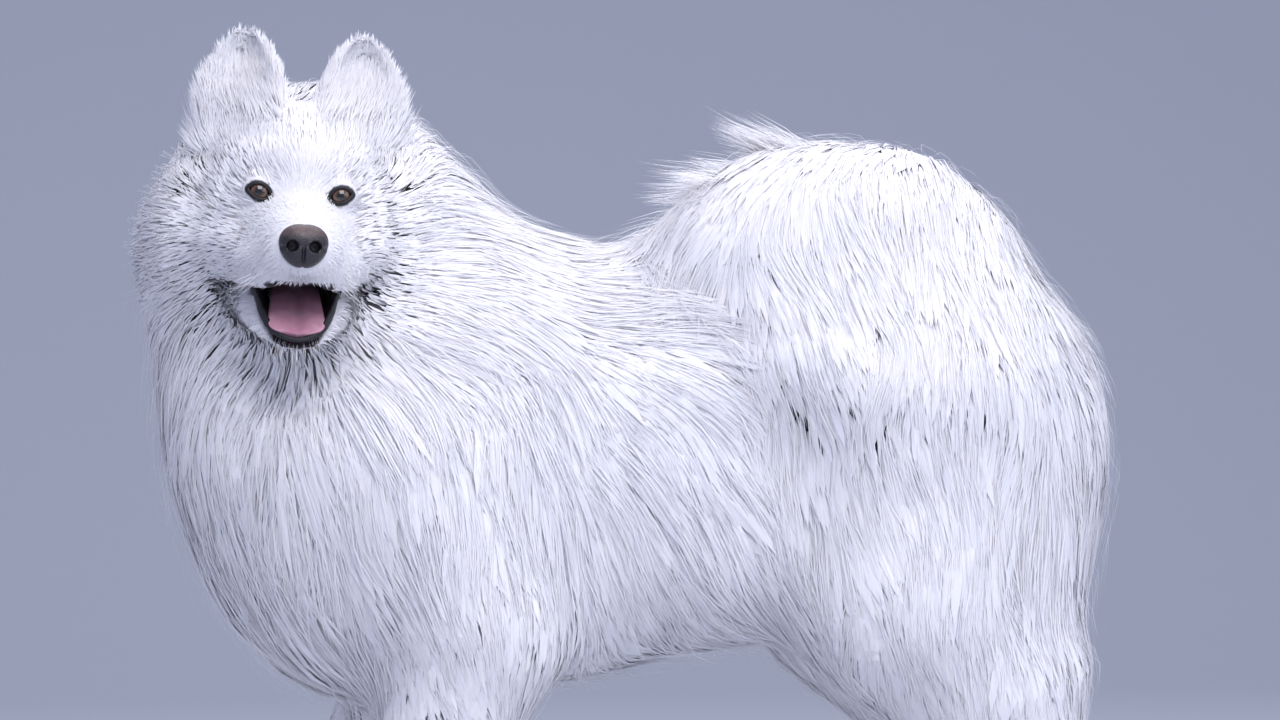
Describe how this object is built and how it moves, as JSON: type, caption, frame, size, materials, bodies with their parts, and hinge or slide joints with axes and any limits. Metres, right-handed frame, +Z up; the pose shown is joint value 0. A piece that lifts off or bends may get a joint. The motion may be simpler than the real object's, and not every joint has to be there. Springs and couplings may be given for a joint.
{
  "type": "life-size museum model of a standing samoyed dog",
  "caption": "Life-size standing samoyed in full white coat, head turned to its left with the mouth open, ears up and tail plume curled over the back.",
  "frame": {"origin": "on the floor under the middle of the bounding box, between the feet", "axes": "+Z up, -X towards the chest, -Y towards the side that the face looks to, which is the dog's left"},
  "size_m": [0.7761, 0.3617, 0.7672],
  "materials": {
    "coat": "long soft white fur",
    "eyes": "wet gloss, dark brown",
    "nose": "fine pebbled, slightly wet",
    "lips": "wet black skin",
    "tongue": "moist pink"
  },
  "bodies": {
    "root": {"head": "coat", "jaw": "coat", "ear_left": "coat", "ear_right": "coat", "eye_left": "eyes", "eye_right": "eyes", "nose": "nose", "lips": "lips", "tongue": "tongue", "neck": "coat", "torso": "coat", "tail": "coat", "foreleg_left": "coat", "foreleg_right": "coat", "hindleg_left": "coat", "hindleg_right": "coat", "forepaw_left": "coat", "forepaw_right": "coat", "hindpaw_left": "coat", "hindpaw_right": "coat"}
  },
  "joints": []
}
